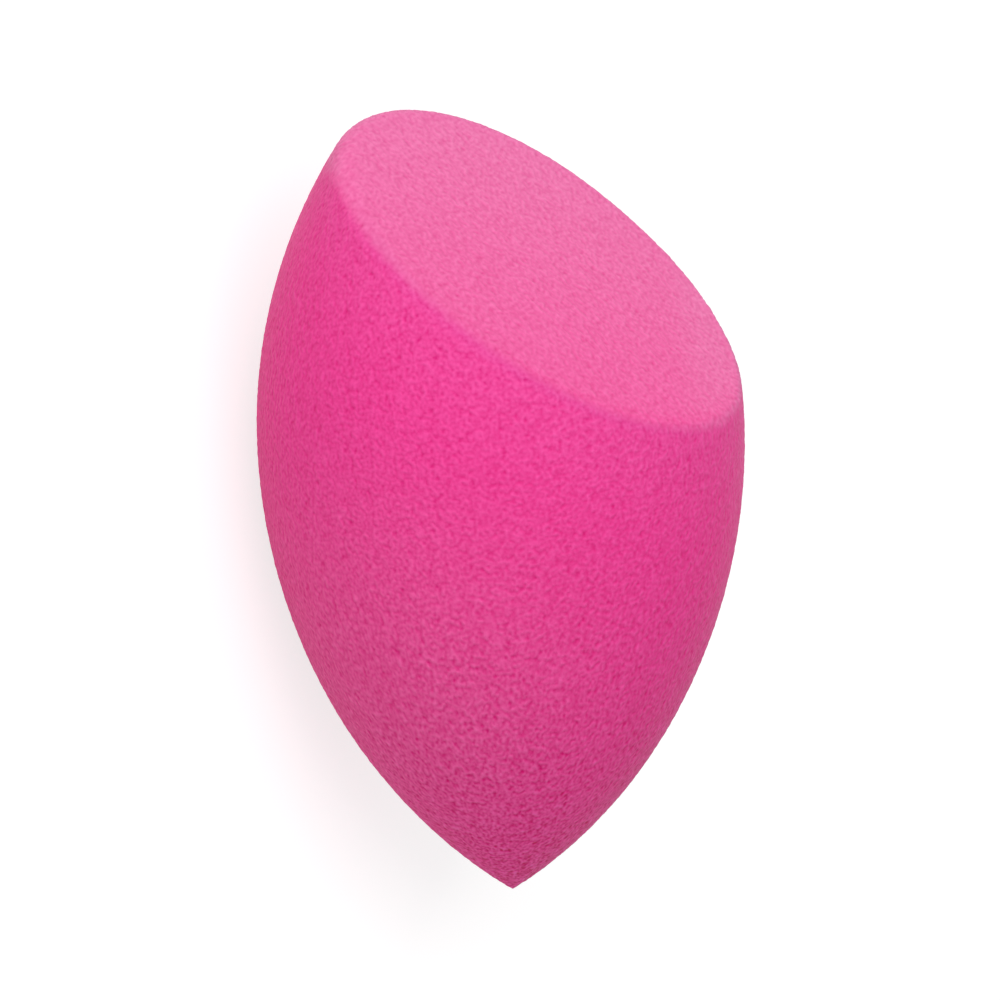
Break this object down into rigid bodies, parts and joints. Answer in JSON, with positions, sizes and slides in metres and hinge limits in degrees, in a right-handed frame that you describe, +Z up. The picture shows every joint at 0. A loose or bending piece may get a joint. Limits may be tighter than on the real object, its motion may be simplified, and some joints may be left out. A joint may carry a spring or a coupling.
{
  "type": "makeup sponge",
  "caption": "Pointed olive-shaped makeup sponge of soft pink foam, with a slanting flat bevel cut across its blunt end for pressing and blending make-up.",
  "frame": {"origin": "bottom centre of the sponge's box as it lies on a table on its long flank, bevel up, in the plane of symmetry", "axes": "+X from the blunt, bevelled end towards the point; +Z up from the table; XZ is the plane of symmetry. The olive's own axis leans 8.3 degrees, point down, because the weight settles there"},
  "size_m": [0.0664, 0.04, 0.0399],
  "materials": {
    "pink_foam": "matt open-cell foam, fine pores"
  },
  "bodies": {
    "root": {"foam_body": "pink_foam"}
  },
  "joints": []
}
